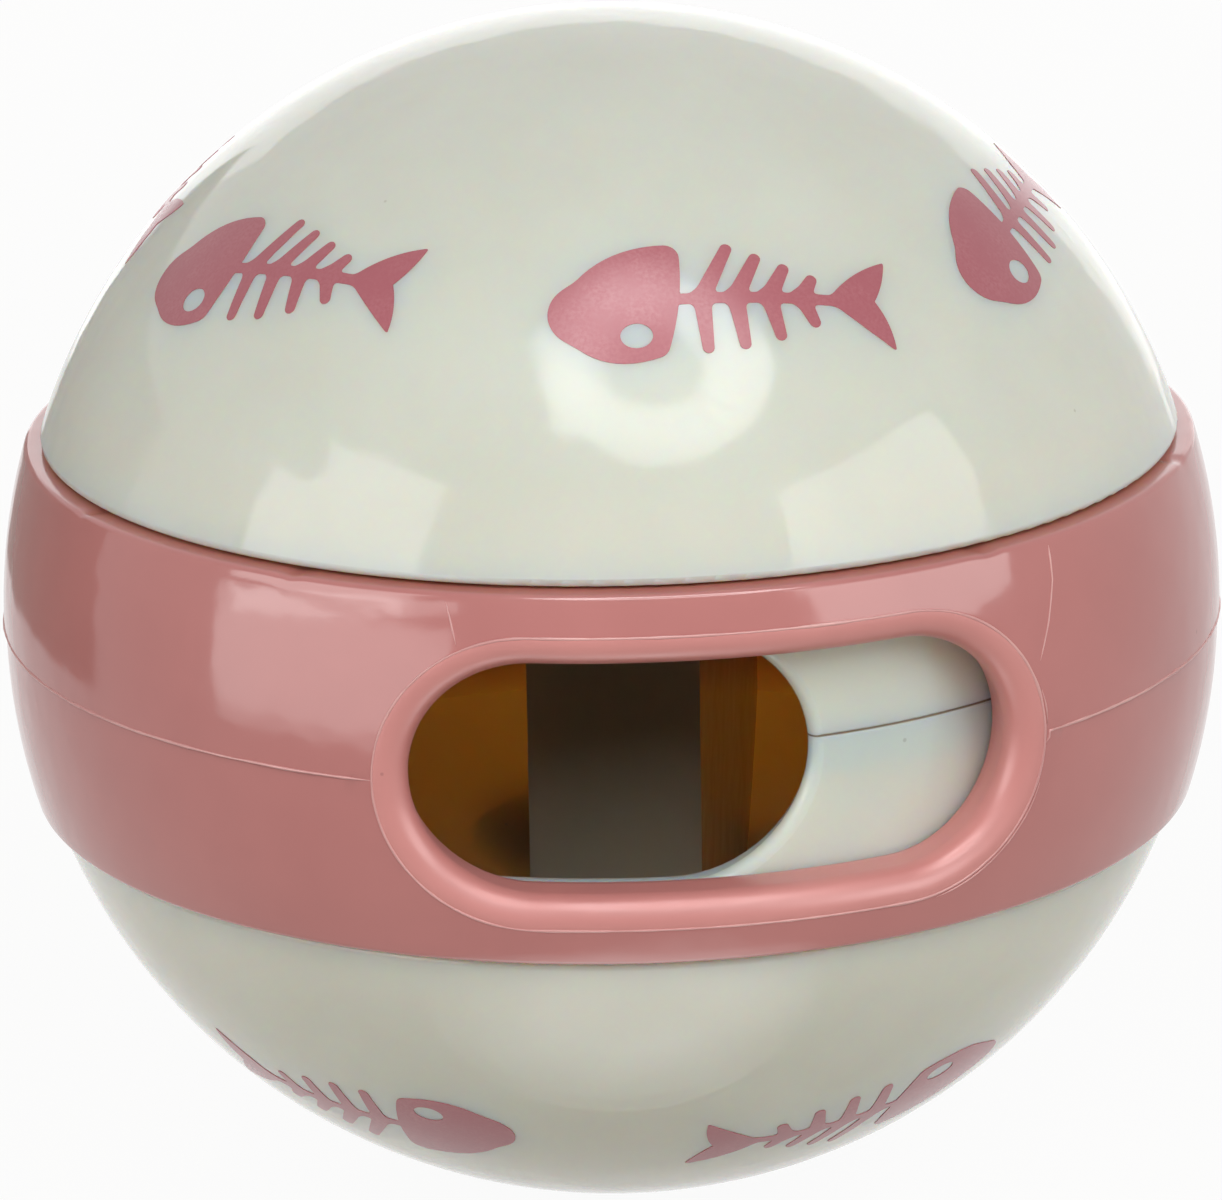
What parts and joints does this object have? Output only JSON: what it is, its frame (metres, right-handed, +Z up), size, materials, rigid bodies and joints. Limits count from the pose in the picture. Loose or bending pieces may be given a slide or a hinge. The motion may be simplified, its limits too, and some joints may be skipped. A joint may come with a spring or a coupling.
{
  "type": "treat dispensing ball",
  "caption": "Hollow pet ball of plastic half shells that push together, with a turning ring whose round-ended opening sets how fast treats fall out.",
  "frame": {"origin": "centre of the base flat that the ball stands on, on the axis that the ring turns round", "axes": "+Z up along the axis of the ring, -Y out of the middle of the window in the shells, +X to the right seen from the window"},
  "size_m": [0.06, 0.0592, 0.0582],
  "materials": {
    "shell_plastic": "polished cream moulding",
    "ring_plastic": "semi-gloss dusty pink moulding"
  },
  "bodies": {
    "lower_half": {"lower_shell": "shell_plastic"},
    "upper_half": {"upper_shell": "shell_plastic"},
    "ring": {"adjuster_ring": "ring_plastic"}
  },
  "joints": [
    {"name": "ring_turn", "type": "hinge", "parent": "lower_half", "child": "ring", "pos_m": [0, 0, 0.02878], "axis": [0, 0, 1], "continuous": true},
    {"name": "upper_half_lift", "type": "slide", "parent": "lower_half", "child": "upper_half", "axis": [0, 0, 1], "range_m": [0, 0.045]}
  ]
}
